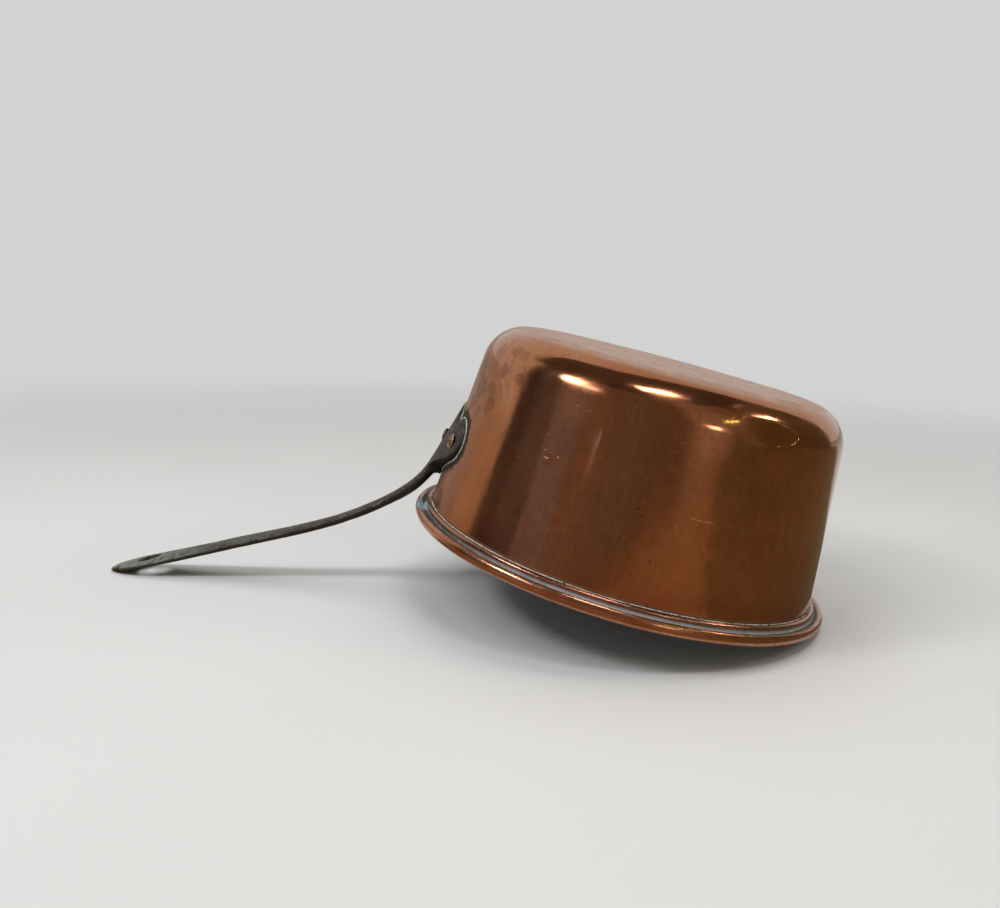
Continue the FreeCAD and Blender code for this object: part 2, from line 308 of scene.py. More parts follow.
# ---- crusts: pale deposit along the rim's joint and round the handle's plate ---------
def bead_along(path, outward, radii, sides=8):
    """Lumpy bead along a path in the pan's axes; outward is the surface normal there."""
    count = len(path)
    ahead = np.roll(path, -1, 0) - np.roll(path, 1, 0)
    ahead /= np.linalg.norm(ahead, axis=1)[:, None]
    across = np.cross(ahead, outward)
    points = []
    for side in range(sides):
        turn = 2 * math.pi * side / sides
        points.append(path + across * (radii * math.cos(turn))[:, None]
                      + outward * (radii * 0.75 * math.sin(turn))[:, None])
    return np.stack(points, 1).reshape(-1, 3)


def bead_faces(count, sides, closed):
    faces = []
    for step in range(count if closed else count - 1):
        after = (step + 1) % count
        for side in range(sides):
            other = (side + 1) % sides
            faces.append((step * sides + side, step * sides + other,
                          after * sides + other, after * sides + side))
    if not closed:
        faces.append(list(range(sides)))
        faces.append([(count - 1) * sides + side for side in range(sides)][::-1])
    return faces


SOLDER_TURNS = 1500
seam_z = RIDGE_Z + 1.42 * MM
seam_angle = np.linspace(0, 2 * math.pi, SOLDER_TURNS, endpoint=False)
seam_r = wall_radius(seam_z) + 0.16 * MM
seam = np.stack([-seam_r * np.cos(seam_angle), -seam_r * np.sin(seam_angle),
                 np.full(SOLDER_TURNS, seam_z)], -1)
thick = 0.27 + 0.08 * rough(seam, 60, 2, 1.0) + 0.08 * rough(seam, 420, 3, 4.0)
seam_out = np.stack([-np.cos(seam_angle), -np.sin(seam_angle), np.full(SOLDER_TURNS, 0.8)], -1)
seam_out /= np.linalg.norm(seam_out, axis=1)[:, None]
seam_points = bead_along(seam, seam_out, np.clip(thick, 0.14, 0.45) * MM)
solder = make_piece("rim_crust", seam_points, bead_faces(SOLDER_TURNS, 8, True),
                    ["rim_solder"])


def plate_outline():
    """Half outline (side, z) of the handle's plate, from the neck to its top."""
    neck = (9.0 * MM, 26.0 * MM)
    lobe, lobe_radius = (29.5 * MM, 48.5 * MM), 12.0 * MM
    top, top_radius = (0.0, 48.0 * MM), 18.0 * MM
    reach = math.hypot(lobe[0] - neck[0], lobe[1] - neck[1])
    angle = math.atan2(lobe[1] - neck[1], lobe[0] - neck[0]) - math.asin(lobe_radius / reach)
    run = math.sqrt(reach ** 2 - lobe_radius ** 2)
    points = [(neck[0] + run * s * math.cos(angle), neck[1] + run * s * math.sin(angle))
              for s in np.linspace(0.02, 1, 40)]
    gap = math.hypot(lobe[0] - top[0], lobe[1] - top[1])
    base_turn = math.atan2(top[1] - lobe[1], top[0] - lobe[0]) % (2 * math.pi)
    bite = math.acos((gap ** 2 + lobe_radius ** 2 - top_radius ** 2) / (2 * gap * lobe_radius))
    notch = base_turn - bite
    points += arc_points(lobe, lobe_radius, angle - math.pi / 2, notch, 60)[1:]
    end = points[-1]
    top_turn = math.atan2(end[1] - top[1], end[0] - top[0])
    points += arc_points(top, top_radius, top_turn, math.pi / 2, 40)[1:]
    return np.array(points)


half = plate_outline()
line = np.vstack([half, half[::-1][1:] * [-1, 1]])
step = np.gradient(line, axis=0)
away = np.stack([step[:, 1], -step[:, 0]], -1)
away /= np.linalg.norm(away, axis=1)[:, None]
line = line + away * 0.60 * MM
across = np.sqrt(wall_radius(line[:, 1]) ** 2 - line[:, 0] ** 2)
edge = np.stack([-across, -line[:, 0], line[:, 1]], -1)
edge_out = np.stack([-across, -line[:, 0], 0.1 * across], -1)
edge_out /= np.linalg.norm(edge_out, axis=1)[:, None]
edge = edge + edge_out * 0.12 * MM
thick = 0.56 + 0.16 * rough(edge, 130, 2, 6.0) + 0.12 * rough(edge, 600, 2, 7.0)
crust_points = bead_along(edge, edge_out, np.clip(thick, 0.26, 0.85) * MM)
plate_crust = make_piece("plate_crust", crust_points, bead_faces(len(edge), 8, False))


# ---- handle: the CAD bar with a forged, pitted skin ----------------------------------
def copy_fine(name, node, voxel):
    """A CAD node as an even, fine mesh: points and normals in the pan's axes, and faces."""
    source = frame["nodes"][node]
    piece = bpy.data.objects.new(name, source.data.copy())
    bpy.context.scene.collection.objects.link(piece)
    remesh = piece.modifiers.new("even", "REMESH")
    remesh.mode = "VOXEL"
    remesh.voxel_size = voxel
    soften = piece.modifiers.new("soften", "SMOOTH")
    soften.factor = 0.5
    soften.iterations = 3
    depsgraph = bpy.context.evaluated_depsgraph_get()
    mesh = bpy.data.meshes.new_from_object(piece.evaluated_get(depsgraph))
    points = np.array([v.co for v in mesh.vertices])
    normals = np.array([v.normal for v in mesh.vertices])
    faces = [list(p.vertices) for p in mesh.polygons]
    bpy.data.objects.remove(piece)
    return to_pan(points), normals @ TO_ROW.T, faces


iron, iron_normal, iron_faces = copy_fine("handle_copy", "handle", 0.62 * MM)

# The forging flows from bar to plate: the neck's lower corners are worked smooth.
pairs = np.array([pair for face in iron_faces for pair in zip(face, face[1:] + face[:1])])
neck_middle = np.array([-wall_radius(23 * MM) - 5 * MM, 0.0, 23 * MM])
soft = 0.6 * (1 - smooth(7 * MM, 13 * MM, np.linalg.norm((iron - neck_middle) * [1, 0.8, 1], axis=1)))
soft *= smooth(0.1 * MM, 1.0 * MM, np.linalg.norm(iron[:, :2], axis=1) - wall_radius(iron[:, 2]))
links = np.bincount(pairs[:, 0], minlength=len(iron)).clip(1)[:, None]
for _ in range(45):
    drawn = np.stack([np.bincount(pairs[:, 0], iron[pairs[:, 1], i], len(iron))
                      for i in range(3)], -1)
    iron = iron + (drawn / links - iron) * soft[:, None]

off_wall = np.linalg.norm(iron[:, :2], axis=1) - wall_radius(iron[:, 2])
root = 1 - smooth(10 * MM, 55 * MM, off_wall)
pitting = np.clip(rough(iron, 330, 3, 11.0), 0, 1.5)
sink = 0.10 * MM * (1 + rough(iron, 70, 2, 12.0)) + (0.10 + 0.22 * root) * MM * pitting
# the skin stays true against the wall and where the tip rests
sink = np.where(off_wall < 0.35 * MM, 0.0, sink)
low_tip = to_row(iron)[:, 2] < 0.8 * MM
sink = np.where(low_tip, np.minimum(sink, 0.05 * MM), sink)
iron = iron - iron_normal * sink[:, None]
# low is 1 on iron faces turned down or sideways and 0 on faces turned up; it carries painted shade
handle = make_piece("handle_iron", iron, iron_faces, ["handle"],
                    {"near_wall": 1 - smooth(0.2 * MM, 3.0 * MM, off_wall), "root": root,
                     "pit": pitting, "low": smooth(-0.60, 0.20, -(iron_normal @ TO_ROW[:, 2]))})


# ---- rivets: hammered heads, a little uneven -----------------------------------------
def rivet_piece(node, side, z, grip, seed):
    """Rivet with its shank and both heads, turned about its own axis."""
    inside = -WALL - LINING
    inner_head = [(0.0, -1.4), (2.2, -1.15), (3.9, -0.6), (4.5, 0.1), (2.4, 0.1)]
    outer_head = [(2.4, -0.8), (3.9, -0.8), (4.05, -0.1), (3.95, 0.35), (3.5, 0.85), (2.7, 1.2),
                  (1.6, 1.42), (0.7, 1.5), (0.0, 1.5)]
    profile = [(r * MM, inside + h * MM) for r, h in inner_head]
    profile += [(r * MM, grip + h * MM) for r, h in outer_head]
    turns = 48
    angle = np.linspace(0, 2 * math.pi, turns, endpoint=False)
    radius = wall_radius(z)
    depth = math.sqrt(radius ** 2 - side ** 2)
    foot = np.array([-depth, side, z])
    out = np.array([-depth / radius, side / radius, WALL_SLOPE])
    out /= np.linalg.norm(out)
    right = np.cross(out, [0, 0, 1])
    right /= np.linalg.norm(right)
    up = np.cross(right, out)
    points = [foot + out * profile[0][1]]
    for r, h in profile[1:-1]:
        ring = foot + out * h + np.outer(np.cos(angle) * r, right) + np.outer(np.sin(angle) * r, up)
        points += list(ring)
    points.append(foot + out * profile[-1][1])
    points = np.array(points)
    uneven = rough(points, 420, 2, seed)
    from_foot = points - foot
    height = from_foot @ out
    spread = from_foot - np.outer(height, out)
    points = points + spread * 0.05 * uneven[:, None] * (height > grip - 0.5 * MM)[:, None]
    points = points - np.outer(0.12 * MM * np.abs(uneven) * (height > grip + 0.5 * MM), out)
    rings = len(profile) - 2
    faces = [(0, 1 + t, 1 + (t + 1) % turns) for t in range(turns)]
    faces += grid_faces(rings, turns, start=1)
    last = 1 + (rings - 1) * turns
    faces += [(last + (t + 1) % turns, last + t, len(points) - 1) for t in range(turns)]
    crown = smooth(grip - 0.2 * MM, grip + 1.3 * MM, height)
    tinned = 1 - smooth(inside, inside + 0.2 * MM, height)
    return make_piece(node + "_head", points, faces, [node],
                      {"crown": crown, "tinned": tinned})


rivet_pieces = [rivet_piece(node, side, z, grip, 20.0 + 3 * number)
                for number, (node, (side, z, grip)) in enumerate(RIVETS.items())]


# ---- materials -----------------------------------------------------------------------
class Nodes:
    """Short ways to add nodes to a material and join them."""

    def __init__(self, name):
        self.material = bpy.data.materials.new(name)
        self.material.use_nodes = True
        self.tree = self.material.node_tree
        self.shader = self.tree.nodes["Principled BSDF"]

    def link(self, source, target):
        if hasattr(source, "is_output"):
            self.tree.links.new(source, target)
        elif isinstance(source, tuple) and len(source) == 3 and target.type == "RGBA":
            target.default_value = (*source, 1.0)
        else:
            target.default_value = source

    def attribute(self, name, output="Fac"):
        node = self.tree.nodes.new("ShaderNodeAttribute")
        node.attribute_name = name
        return node.outputs[output]

    def place(self):
        return self.attribute("pan_xyz", "Vector")

    def stretch(self, vector, scale, turn=(0, 0, 0), move=(0, 0, 0)):
        node = self.tree.nodes.new("ShaderNodeMapping")
        self.link(vector, node.inputs["Vector"])
        node.inputs["Scale"].default_value = scale
        node.inputs["Rotation"].default_value = turn
        node.inputs["Location"].default_value = move
        return node.outputs["Vector"]

    def noise(self, vector, scale, detail=3.0, roughness=0.5, warp=0.0):
        node = self.tree.nodes.new("ShaderNodeTexNoise")
        self.link(vector, node.inputs["Vector"])
        node.inputs["Scale"].default_value = scale
        node.inputs["Detail"].default_value = detail
        node.inputs["Roughness"].default_value = roughness
        node.inputs["Distortion"].default_value = warp
        return node.outputs["Fac"]

    def cells(self, vector, scale):
        node = self.tree.nodes.new("ShaderNodeTexVoronoi")
        self.link(vector, node.inputs["Vector"])
        node.inputs["Scale"].default_value = scale
        return node.outputs["Distance"]

    def ramp(self, value, low, high, out_low=0.0, out_high=1.0):
        node = self.tree.nodes.new("ShaderNodeMapRange")
        node.interpolation_type = "SMOOTHSTEP"
        self.link(value, node.inputs["Value"])
        node.inputs["From Min"].default_value = low
        node.inputs["From Max"].default_value = high
        node.inputs["To Min"].default_value = out_low
        node.inputs["To Max"].default_value = out_high
        return node.outputs["Result"]

    def math(self, kind, first, second=0.0):
        node = self.tree.nodes.new("ShaderNodeMath")
        node.operation = kind
        self.link(first, node.inputs[0])
        self.link(second, node.inputs[1])
        return node.outputs["Value"]

    def times(self, *values):
        total = values[0]
        for value in values[1:]:
            total = self.math("MULTIPLY", total, value)
        return total

    def part(self, vector, axis):
        node = self.tree.nodes.new("ShaderNodeSeparateXYZ")
        self.link(vector, node.inputs[0])
        return node.outputs[axis]

    def distance(self, vector, point):
        node = self.tree.nodes.new("ShaderNodeVectorMath")
        node.operation = "DISTANCE"
        self.link(vector, node.inputs[0])
        node.inputs[1].default_value = point
        return node.outputs["Value"]

    def blend(self, share, first, second):
        node = self.tree.nodes.new("ShaderNodeMix")
        node.data_type = "RGBA"
        self.link(share, node.inputs["Factor"])
        self.link(first, node.inputs[6])
        self.link(second, node.inputs[7])
        return node.outputs[2]

    def mix(self, share, first, second):
        node = self.tree.nodes.new("ShaderNodeMix")
        self.link(share, node.inputs["Factor"])
        self.link(first, node.inputs[2])
        self.link(second, node.inputs[3])
        return node.outputs[0]

    def bump(self, height, depth, strength=1.0, before=None):
        node = self.tree.nodes.new("ShaderNodeBump")
        node.inputs["Strength"].default_value = strength
        node.inputs["Distance"].default_value = depth
        self.link(height, node.inputs["Height"])
        if before is not None:
            self.link(before, node.inputs["Normal"])
        return node.outputs["Normal"]

    def finish(self, color, roughness, metallic, normal):
        self.link(color, self.shader.inputs["Base Color"])
        self.link(roughness, self.shader.inputs["Roughness"])
        self.link(metallic, self.shader.inputs["Metallic"])
        self.link(normal, self.shader.inputs["Normal"])
        return self.material


def at(angle, z, r=None):
    """Point in the pan's axes on the wall, at degrees round from the handle."""
    r = wall_radius(z) if r is None else r
    turn = math.radians(angle)
    return (-r * math.cos(turn), -r * math.sin(turn), z)


def scratches(n, place, scale, length, turn, sharp, seed):
    """Thin, sparse, roughly parallel scratches."""
    drawn = n.stretch(place, (scale, scale / length, scale), turn, (seed, seed, seed))
    lines = n.noise(drawn, 1.0, 2.0, 0.6, 0.3)
    return n.ramp(lines, sharp, sharp + 0.03)


# Marks on the copper: degrees round from the handle, height in mm, then the radius of a
# pit in mm, or how far a scratch reaches to each side in mm.
PITS = ((85.7, 52.9, 1.0), (87.0, 50.4, 0.7), (83.4, 37.6, 0.6), (77.5, 100.8, 0.8),
        (80.5, 97.0, 0.6), (109.7, 17.2, 0.6), (88.5, 22.0, 0.6), (102.6, 106.0, 0.7),
        (112.6, 103.2, 0.8))
SCRATCHES = ((101, 54.6, 13), (112, 55.2, 9), (115, 53.6, 6))
# squeeze of the axis for the tall painted reflection on the wall
REFLECTION_SQUEEZE = 0.055


def copper_material():
    n = Nodes("copper")
    place = n.place()
    z = n.part(place, "Z")
    cloud = n.noise(place, 22, 5, 0.6, 0.6)
    fine = n.noise(place, 160, 4, 0.6)
    brushed = n.noise(n.stretch(place, (1, 1, 0.03)), 900, 3, 0.6)
    color = n.blend(n.ramp(cloud, 0.40, 0.64), (0.49, 0.190, 0.082), (0.57, 0.235, 0.105))
    color = n.blend(n.ramp(fine, 0.35, 0.75, 0.0, 0.45), color, (0.43, 0.165, 0.078))
    color = n.blend(n.ramp(brushed, 0.48, 0.72, 0.0, 0.40), color, (0.62, 0.29, 0.16))
    grainy = n.noise(n.stretch(place, (1, 1, 0.5)), 420, 4, 0.7)
    color = n.blend(n.ramp(grainy, 0.50, 0.70, 0.0, 0.50), color, (0.36, 0.13, 0.058))
    # pinker next to the handle
    pink = n.ramp(n.distance(place, at(8, 55 * MM)), 0.075, 0.035)
    color = n.blend(n.times(pink, 0.45), color, (0.50, 0.235, 0.145))
    # redder and darker toward the rim
    low = n.times(n.ramp(z, 0.028, 0.011), n.ramp(n.noise(place, 35, 3), 0.3, 0.65))
    color = n.blend(n.times(low, 0.50), color, (0.37, 0.11, 0.065))
    # brown water stains and drips high on the handle's side, and a few elsewhere
    patch = n.noise(place, 85, 4, 0.55, 1.2)
    ragged = n.math("ADD", n.attribute("stained"),
                    n.ramp(n.noise(place, 120, 3, 0.55), 0.25, 0.75, -0.34, 0.40))
    stain = n.ramp(ragged, 0.0, 0.26)
    stain = n.times(stain, n.ramp(ragged, 0.10, 0.50, 1.0, 0.70), n.ramp(fine, 0.30, 0.65, 0.75, 1.0))
    stray = n.times(n.ramp(n.noise(place, 12, 2), 0.58, 0.72), n.ramp(patch, 0.58, 0.66))
    stray = n.math("MAXIMUM", stray, n.times(n.ramp(n.distance(place, at(34, 98 * MM)), 0.030, 0.012),
                                             n.ramp(patch, 0.50, 0.60)))
    stain = n.math("MAXIMUM", stain, n.times(stray, 0.45))
    tone = n.blend(n.ramp(cloud, 0.42, 0.56), (0.150, 0.070, 0.056), (0.260, 0.090, 0.042))
    color = n.blend(n.times(stain, 0.76), color, tone)
    # the base: matte, pinkish tan, rubbed
    top = n.ramp(z, PAN_HEIGHT - 3.2 * MM, PAN_HEIGHT - 0.9 * MM)
    tan = n.blend(n.ramp(n.noise(place, 60, 5, 0.65, 0.8), 0.35, 0.7), (0.56, 0.335, 0.225),
                  (0.74, 0.48, 0.34))
    color = n.blend(n.times(top, 0.9), color, tan)
    # soot-dark, grey-green ring round the iron
    iron = n.attribute("near_iron")
    frayed = n.math("ADD", iron, n.ramp(fine, 0.25, 0.75, -0.10, 0.10))
    below = n.math("ADD", n.distance(place, at(0, 16 * MM)), n.ramp(cloud, 0.35, 0.65, -0.004, 0.004))
    soot_and_shade = n.math("MAXIMUM", n.ramp(frayed, 0.42, 0.74), n.ramp(below, 0.0225, 0.0135))
    # and painted shade down the wall from the plate to the rim
    shaded = n.math("ADD", n.distance(n.stretch(place, (1, 1, 1.9)), at(-4, 57 * MM, 109.5 * MM)),
                    n.ramp(fine, 0.30, 0.70, -0.003, 0.003))
    soot_and_shade = n.math("MAXIMUM", soot_and_shade, n.times(n.ramp(shaded, 0.046, 0.036), 0.72))
    # near-black colour: soot round the iron, painted shade down the wall below the plate
    color = n.blend(n.times(soot_and_shade, 0.96), color, n.blend(n.ramp(fine, 0.40, 0.62), (0.008, 0.010, 0.008),
                                                        (0.022, 0.026, 0.021)))
    # dark line just above the rim's joint
    seam = n.times(n.ramp(z, 0.0107, 0.0098), n.ramp(n.noise(place, 150, 3, 0.6), 0.30, 0.50, 0.45, 1.0))
    color = n.blend(n.times(seam, 0.9), color, (0.045, 0.042, 0.030))
    # sparse dark pits
    pits = n.times(n.ramp(n.cells(place, 190), 0.11, 0.06), n.ramp(n.noise(place, 30, 1), 0.54, 0.62))
    for angle, height, size in PITS:
        spot_mark = n.ramp(n.distance(place, at(angle, height * MM)), size * MM, 0.6 * size * MM)
        pits = n.math("MAXIMUM", pits, n.times(spot_mark, 0.9))
    color = n.blend(n.times(pits, 0.8), color, (0.10, 0.045, 0.03))
    # scratches
    few = n.ramp(n.noise(place, 18, 2, 0.5), 0.52, 0.62)
    level = n.stretch(place, (1, 1, 22))
    ring_scratch = n.times(scratches(n, level, 55, 1.0, (0, 0, 0.6), 0.70, 3.0), few)
    base_scratch = scratches(n, place, 700, 45.0, (0, 0, 1.1), 0.62, 1.0)
    base_scratch = n.math("MAXIMUM", base_scratch,
                          scratches(n, place, 800, 50.0, (0, 0, -0.5), 0.64, 5.0))
    marks = n.math("MAXIMUM", n.times(ring_scratch, 0.8), n.times(base_scratch, top))
    for angle, height, reach in SCRATCHES:
        off_line = n.math("ABSOLUTE", n.math("SUBTRACT", z, height * MM))
        dash = n.times(n.ramp(off_line, 0.30 * MM, 0.12 * MM), n.ramp(fine, 0.40, 0.52),
                       n.ramp(n.distance(place, at(angle, height * MM)), reach * MM, 0.6 * reach * MM))
        marks = n.math("MAXIMUM", marks, dash)
    color = n.blend(n.times(marks, 0.55), color, (0.66, 0.40, 0.28))
    # one tall painted reflection, a pale streak; the axis is squeezed, so a small ball becomes a tall
    # oval
    squeezed = n.stretch(place, (1, 1, REFLECTION_SQUEEZE))
    painted_reflection = n.ramp(n.distance(squeezed, at(71.2, 79.1 * MM * REFLECTION_SQUEEZE, 104.2 * MM)),
                    0.75 * MM, 0.35 * MM)
    color = n.blend(n.times(painted_reflection, 0.8), color, (0.80, 0.50, 0.38))
    # roughness: polished wall, dull base and stains
    smear = n.noise(n.stretch(place, (1, 1, 0.4)), 34, 4, 0.6, 0.8)
    roughness = n.ramp(smear, 0.3, 0.7, 0.095, 0.185)
    # hazier where the metal is bruised, beside the two high lights
    haze = n.math("MAXIMUM", n.ramp(n.distance(place, at(63, 93 * MM)), 0.020, 0.006),
                  n.times(n.ramp(n.distance(place, at(84, 98 * MM)), 0.018, 0.005), 0.7))
    roughness = n.mix(n.times(haze, n.ramp(fine, 0.30, 0.70, 0.45, 1.0)), roughness, 0.27)
    # duller where the handle's root keeps the cloth away
    dull = n.times(n.ramp(n.distance(place, at(3, 28 * MM)), 0.050, 0.020),
                   n.ramp(fine, 0.30, 0.70, 0.6, 1.0))
    roughness = n.mix(dull, roughness, 0.46)
    roughness = n.mix(n.times(top, 0.95), roughness, n.ramp(fine, 0.3, 0.7, 0.36, 0.50))
    roughness = n.mix(stain, roughness, 0.30)
    roughness = n.mix(soot_and_shade, roughness, 0.66)
    roughness = n.mix(seam, roughness, 0.8)
    roughness = n.math("ADD", roughness, n.times(marks, 0.10))
    # metal gives way to soot, painted shade and the dark line at the joint
    grime_and_shade = n.math("MAXIMUM", n.times(soot_and_shade, 0.96), n.times(seam, 0.8))
    metallic = n.math("SUBTRACT", 1.0, grime_and_shade)
    n.shader.inputs["Specular IOR Level"].default_value = 0.08
    beaten = n.noise(place, 48, 2, 0.4)
    normal = n.bump(beaten, 0.20 * MM, 0.20)
    normal = n.bump(brushed, 0.014 * MM, 0.45, normal)
    normal = n.bump(grainy, 0.012 * MM, 0.35, normal)
    # the turned-over lip of the main dent
    lip = n.ramp(n.math("ABSOLUTE", n.math("SUBTRACT", n.attribute("dented"), 0.015)), 0.050, 0.0)
    upper = n.times(n.ramp(z, 0.1020, 0.1045),
                    n.ramp(n.distance(place, at(119, 105 * MM)), 0.030, 0.016))
    drawn = n.math("MAXIMUM", upper, n.ramp(n.distance(place, at(123.5, 100 * MM)), 0.012, 0.007))
    lip = n.times(lip, drawn, n.ramp(fine, 0.30, 0.55, 0.6, 1.0))
    normal = n.bump(lip, 0.32 * MM, 1.0, normal)
    normal = n.bump(fine, 0.02 * MM, 0.25, normal)
    normal = n.bump(n.math("SUBTRACT", 0.0, n.math("MAXIMUM", marks, pits)), 0.06 * MM, 0.6, normal)
    return n.finish(color, roughness, metallic, normal)


def rim_material():
    n = Nodes("rim_copper")
    place = n.place()
    around = n.attribute("around")
    fine = n.noise(place, 260, 4, 0.6)
    cloud = n.noise(place, 40, 4, 0.6, 0.5)
    color = n.blend(n.ramp(cloud, 0.38, 0.66), (0.47, 0.185, 0.095), (0.60, 0.28, 0.16))
    color = n.blend(n.ramp(fine, 0.42, 0.75, 0.0, 0.4), color, (0.36, 0.15, 0.09))
    ridge = n.times(n.ramp(around, 0.24, 0.20), n.ramp(around, 0.0, 0.03))
    color = n.blend(n.times(ridge, 0.75), color, (0.40, 0.205, 0.155))
    # groove: grey and green deposit, thickest by the handle
    groove = n.times(n.ramp(around, 0.190, 0.225), n.ramp(around, 0.385, 0.315))
    blotch = n.noise(place, 110, 4, 0.6, 0.8)
    grey = n.times(groove, n.ramp(blotch, 0.22, 0.40, 0.55, 1.0))
    by_root = n.ramp(n.distance(place, at(15, 6.5 * MM, 0.1155)), 0.105, 0.050)
    ash = n.blend(by_root, (0.270, 0.262, 0.258), (0.088, 0.085, 0.078))
    color = n.blend(n.times(grey, 0.92), color, ash)
    patch = n.times(groove, n.ramp(n.noise(place, 75, 4, 0.6, 1.0), 0.52, 0.62))
    color = n.blend(n.times(patch, 0.5), color, (0.125, 0.140, 0.120))
    # black-green blots past the patch, spilling over the roll
    near_blots = n.ramp(n.distance(place, at(29, 6.5 * MM, 0.1155)), 0.030, 0.010)
    blots = n.times(n.ramp(around, 0.16, 0.22), n.ramp(around, 0.47, 0.38), near_blots,
                    n.ramp(n.noise(place, 230, 4, 0.65, 0.6), 0.42, 0.52))
    color = n.blend(n.times(blots, 0.9), color, (0.040, 0.048, 0.040))
    spill = n.times(n.ramp(around, 0.10, 0.20), n.ramp(around, 0.56, 0.44))
    by_handle = n.math("ADD", n.distance(place, at(12, 6.5 * MM, 0.1155)),
                       n.ramp(fine, 0.3, 0.7, -0.003, 0.003))
    border = n.times(spill, n.ramp(by_handle, 0.0135, 0.0115))
    color = n.blend(n.times(border, 0.9), color, (0.045, 0.052, 0.046))
    green = n.times(spill, n.ramp(by_handle, 0.0105, 0.0085), n.ramp(blotch, 0.30, 0.55, 0.55, 1.0))
    flaky = n.ramp(n.noise(place, 380, 3, 0.65), 0.36, 0.58)
    color = n.blend(green, color, n.blend(flaky, (0.080, 0.120, 0.115), (0.240, 0.345, 0.345)))
    pale = n.times(groove, n.ramp(n.noise(place, 330, 3, 0.7), 0.60, 0.70))
    color = n.blend(n.times(pale, 0.6), color, (0.40, 0.41, 0.37))
    far_end = n.times(n.ramp(n.distance(place, at(-14, 5.5 * MM, 0.117)), 0.024, 0.014),
                      n.ramp(blotch, 0.25, 0.45, 0.5, 1.0))
    color = n.blend(n.times(far_end, 0.85), color, (0.055, 0.056, 0.046))
    under = n.ramp(around, 0.86, 0.95)
    color = n.blend(n.times(under, 0.7), color, (0.20, 0.10, 0.06))
    crusty = n.math("MAXIMUM", n.math("MAXIMUM", grey, blots), border)
    roughness = n.mix(crusty, n.ramp(fine, 0.3, 0.75, 0.17, 0.30), 0.62)
    metallic = n.math("SUBTRACT", 1.0, n.times(crusty, 0.8))
    normal = n.bump(n.noise(place, 60, 2, 0.5), 0.20 * MM, 0.3)
    normal = n.bump(n.times(fine, n.math("ADD", 0.12, crusty)), 0.12 * MM, 0.6, normal)
    return n.finish(color, roughness, metallic, normal)


def crust_material(name, pale, shade, broken):
    n = Nodes(name)
    place = n.place()
    fine = n.noise(place, 500, 4, 0.7)
    color = n.blend(n.ramp(fine, 0.34, 0.58), shade, pale)
    color = n.blend(n.ramp(n.noise(place, 120, 3, 0.6), 0.52, 0.64, 0.0, 0.5), color, shade)
    color = n.blend(n.ramp(n.noise(place, 260, 2, 0.6), broken, broken + 0.08, 0.0, 0.9), color,
                    (0.05, 0.045, 0.03))
    normal = n.bump(fine, 0.2 * MM, 0.7)
    return n.finish(color, n.ramp(fine, 0.3, 0.7, 0.6, 0.85), n.ramp(fine, 0.3, 0.7, 0.1, 0.0), normal)


def iron_material():
    n = Nodes("handle_iron")
    place = n.place()
    fine = n.noise(place, 420, 5, 0.65)
    cloud = n.noise(place, 60, 5, 0.6, 0.6)
    mottle = n.noise(place, 170, 4, 0.65, 0.5)
    color = n.blend(n.ramp(cloud, 0.36, 0.66), (0.026, 0.021, 0.017), (0.062, 0.051, 0.042))
    color = n.blend(n.ramp(mottle, 0.50, 0.64, 0.0, 0.55), color, (0.115, 0.102, 0.088))
    color = n.blend(n.ramp(fine, 0.54, 0.74, 0.0, 0.6), color, (0.160, 0.148, 0.130))
    out = n.math("SUBTRACT", 0.0, n.part(place, "X"))
    bloom = n.times(n.ramp(out, 0.150, 0.230), n.ramp(n.noise(place, 130, 4, 0.6, 0.5), 0.38, 0.58))
    color = n.blend(n.times(bloom, 0.6), color, (0.125, 0.145, 0.115))
    by_tip = n.times(n.ramp(out, 0.235, 0.272), n.ramp(fine, 0.30, 0.60, 0.4, 1.0))
    color = n.blend(n.times(by_tip, 0.8), color, (0.265, 0.280, 0.235))
    pit = n.attribute("pit")
    color = n.blend(n.ramp(pit, 0.10, 0.60, 0.0, 0.85), color, (0.018, 0.015, 0.012))
    # the plate is a warmer brown-black than the bar
    root = n.attribute("root")
    color = n.blend(n.times(n.ramp(root, 0.55, 1.0), n.ramp(mottle, 0.30, 0.60, 0.85, 0.45)), color,
                    (0.040, 0.031, 0.023))
    rust = n.times(root, n.ramp(n.noise(place, 210, 3, 0.6), 0.54, 0.66))
    color = n.blend(n.times(rust, 0.45), color, (0.095, 0.048, 0.022))
    flecks = n.times(n.ramp(root, 0.10, 0.45, 0.15, 1.0),
                     n.ramp(n.noise(place, 800, 2, 0.6), 0.62, 0.69),
                     n.ramp(n.noise(place, 90, 2), 0.42, 0.56))
    color = n.blend(n.times(flecks, 0.8), color, (0.42, 0.40, 0.34))
    edge = n.times(n.attribute("near_wall"), n.ramp(fine, 0.30, 0.55))
    color = n.blend(n.times(edge, 0.85), color, (0.016, 0.014, 0.010))
    # painted shade: faces turned down or sideways are darker than the top
    color = n.blend(n.times(n.attribute("low"), 0.85), color, (0.026, 0.019, 0.014))
    roughness = n.ramp(fine, 0.3, 0.7, 0.38, 0.62)
    normal = n.bump(cloud, 0.5 * MM, 0.4)
    normal = n.bump(mottle, 0.35 * MM, 0.6, normal)
    normal = n.bump(fine, 0.24 * MM, 0.8, normal)
    return n.finish(color, roughness, 0.5, normal)


